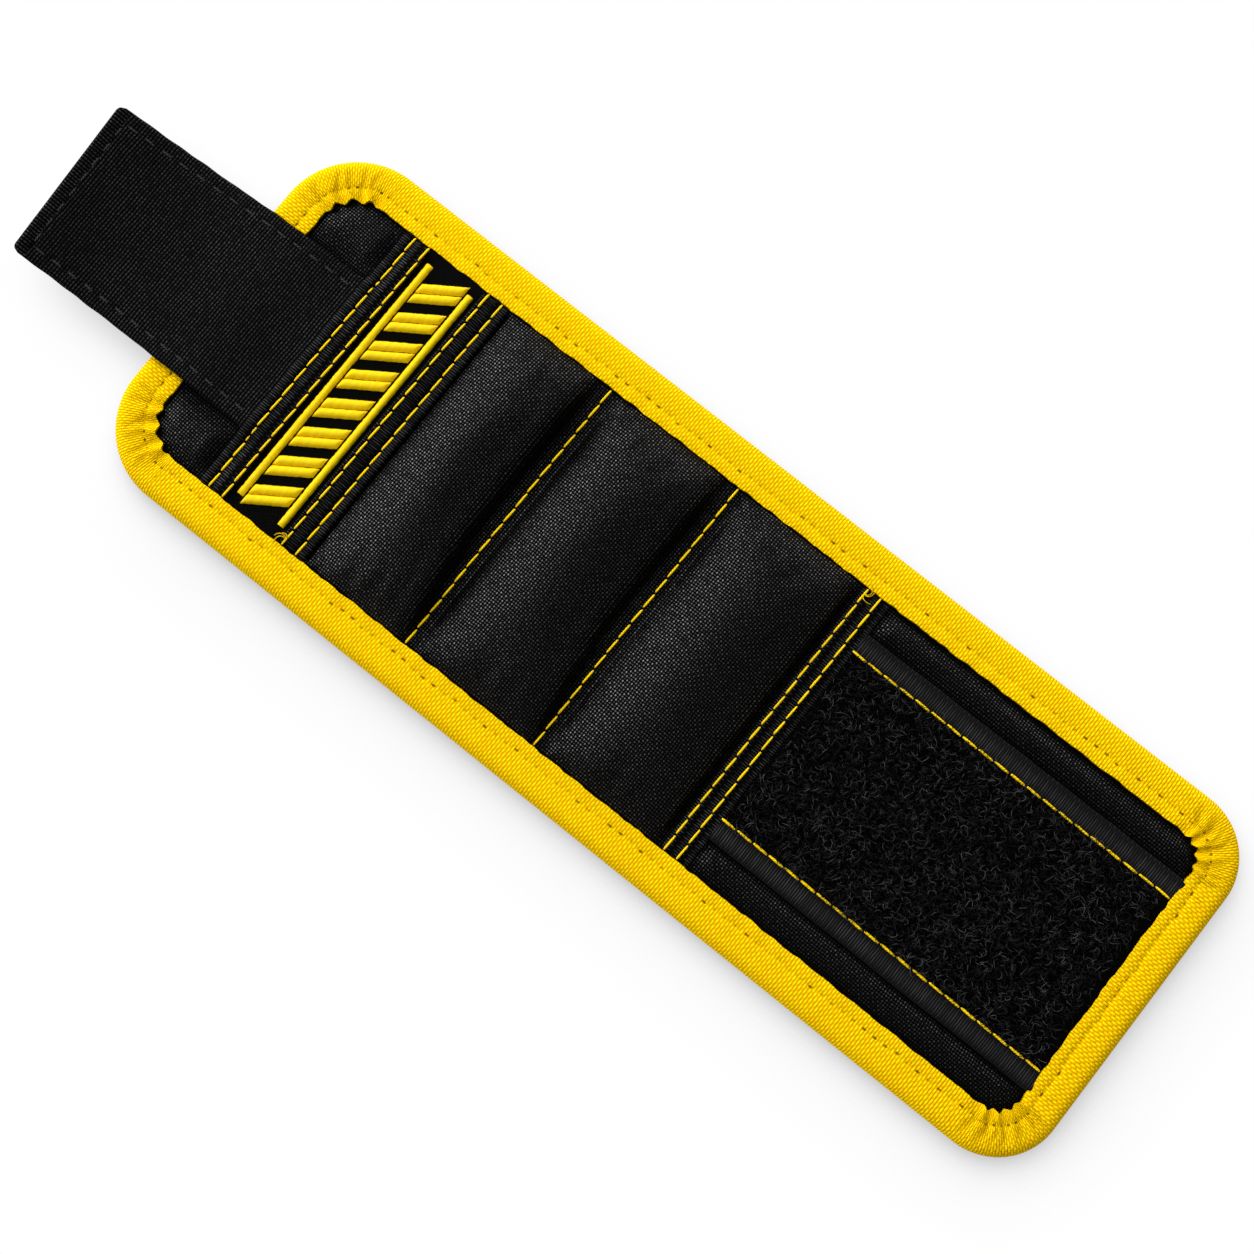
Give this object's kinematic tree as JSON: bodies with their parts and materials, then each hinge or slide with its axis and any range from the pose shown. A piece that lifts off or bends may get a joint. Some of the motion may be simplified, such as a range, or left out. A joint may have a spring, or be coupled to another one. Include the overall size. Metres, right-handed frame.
{
  "type": "magnetic wristband",
  "caption": "Padded fabric wristband with stuffed magnet channels across it, a bound edge, and a hook strap that closes onto a loop tape on the tail.",
  "frame": {"origin": "middle of the centre channel on the wrist side, on the level that the band lies on", "axes": "+X along the band towards the loop tail, +Y across the band, +Z away from the wrist"},
  "size_m": [0.2901, 0.09, 0.0127],
  "materials": {
    "shell_weave": "coarse plain-woven black nylon",
    "channel_cover": "coarse plain-woven black nylon over stuffing",
    "foam": "closed-cell sheet foam",
    "lining": "black knitted air mesh",
    "binding": "yellow ribbed binding tape",
    "label": "black twill with raised satin stitching",
    "seam_tape": "black ribbed tape",
    "loop_tape": "black napped loop pile with a woven selvage",
    "webbing": "black cross-ribbed webbing",
    "hook_tape": "black nylon hooks on a woven base",
    "magnet": "bright nickel plate"
  },
  "bodies": {
    "channel_2": {"shell_channel_2": "shell_weave", "foam_channel_2": "foam", "lining_channel_2": "lining", "binding_channel_2_front": "binding", "binding_channel_2_rear": "binding", "pocket_channel_2": "channel_cover", "pad_channel_2": "foam", "magnet_channel_2_1": "magnet", "magnet_channel_2_2": "magnet", "magnet_channel_2_3": "magnet", "magnet_channel_2_4": "magnet"},
    "channel_1": {"shell_channel_1": "shell_weave", "foam_channel_1": "foam", "lining_channel_1": "lining", "binding_channel_1_front": "binding", "binding_channel_1_rear": "binding", "pocket_channel_1": "channel_cover", "pad_channel_1": "foam", "magnet_channel_1_1": "magnet", "magnet_channel_1_2": "magnet", "magnet_channel_1_3": "magnet", "magnet_channel_1_4": "magnet"},
    "channel_3": {"shell_channel_3": "shell_weave", "foam_channel_3": "foam", "lining_channel_3": "lining", "binding_channel_3_front": "binding", "binding_channel_3_rear": "binding", "pocket_channel_3": "channel_cover", "pad_channel_3": "foam", "magnet_channel_3_1": "magnet", "magnet_channel_3_2": "magnet", "magnet_channel_3_3": "magnet", "magnet_channel_3_4": "magnet"},
    "label_section": {"shell_label": "shell_weave", "foam_label": "foam", "lining_label": "lining", "binding_label": "binding", "label_panel": "label", "seam_tape_strap": "seam_tape", "seam_tape_channels": "seam_tape"},
    "tail_inner": {"shell_tail_inner": "shell_weave", "foam_tail_inner": "foam", "lining_tail_inner": "lining", "binding_tail_inner_front": "binding", "binding_tail_inner_rear": "binding", "seam_tape_tail": "seam_tape", "loop_tape_inner": "loop_tape"},
    "tail_outer": {"shell_tail_outer": "shell_weave", "foam_tail_outer": "foam", "lining_tail_outer": "lining", "binding_tail_outer": "binding", "loop_tape_outer": "loop_tape"},
    "strap_root": {"strap_root_webbing": "webbing"},
    "strap_tip": {"strap_tip_webbing": "webbing", "hook_tape": "hook_tape"}
  },
  "joints": [
    {"name": "fold_divider_1", "type": "hinge", "parent": "channel_2", "child": "channel_1", "pos_m": [-0.01745, 0, 0], "axis": [0, -1, 0], "range_deg": [0, 50]},
    {"name": "fold_label", "type": "hinge", "parent": "channel_1", "child": "label_section", "pos_m": [-0.0451, 0, 0], "axis": [0, -1, 0], "range_deg": [0, 45]},
    {"name": "fold_divider_2", "type": "hinge", "parent": "channel_2", "child": "channel_3", "pos_m": [0.01745, 0, 0], "axis": [0, 1, 0], "range_deg": [0, 50]},
    {"name": "fold_tail_seam", "type": "hinge", "parent": "channel_3", "child": "tail_inner", "pos_m": [0.0513, 0, 0], "axis": [0, 1, 0], "range_deg": [0, 60]},
    {"name": "fold_tail_middle", "type": "hinge", "parent": "tail_inner", "child": "tail_outer", "pos_m": [0.0993, 0, 0], "axis": [0, 1, 0], "range_deg": [0, 70]},
    {"name": "strap_lift", "type": "hinge", "parent": "label_section", "child": "strap_root", "pos_m": [-0.0746, 0, 0.006], "axis": [0, -1, 0], "range_deg": [-120, 0]},
    {"name": "strap_bend", "type": "hinge", "parent": "strap_root", "child": "strap_tip", "pos_m": [-0.1022, 0, 0.00615], "axis": [0, -1, 0], "range_deg": [-45, 75], "stiffness_Nm_per_rad": 0.02}
  ]
}
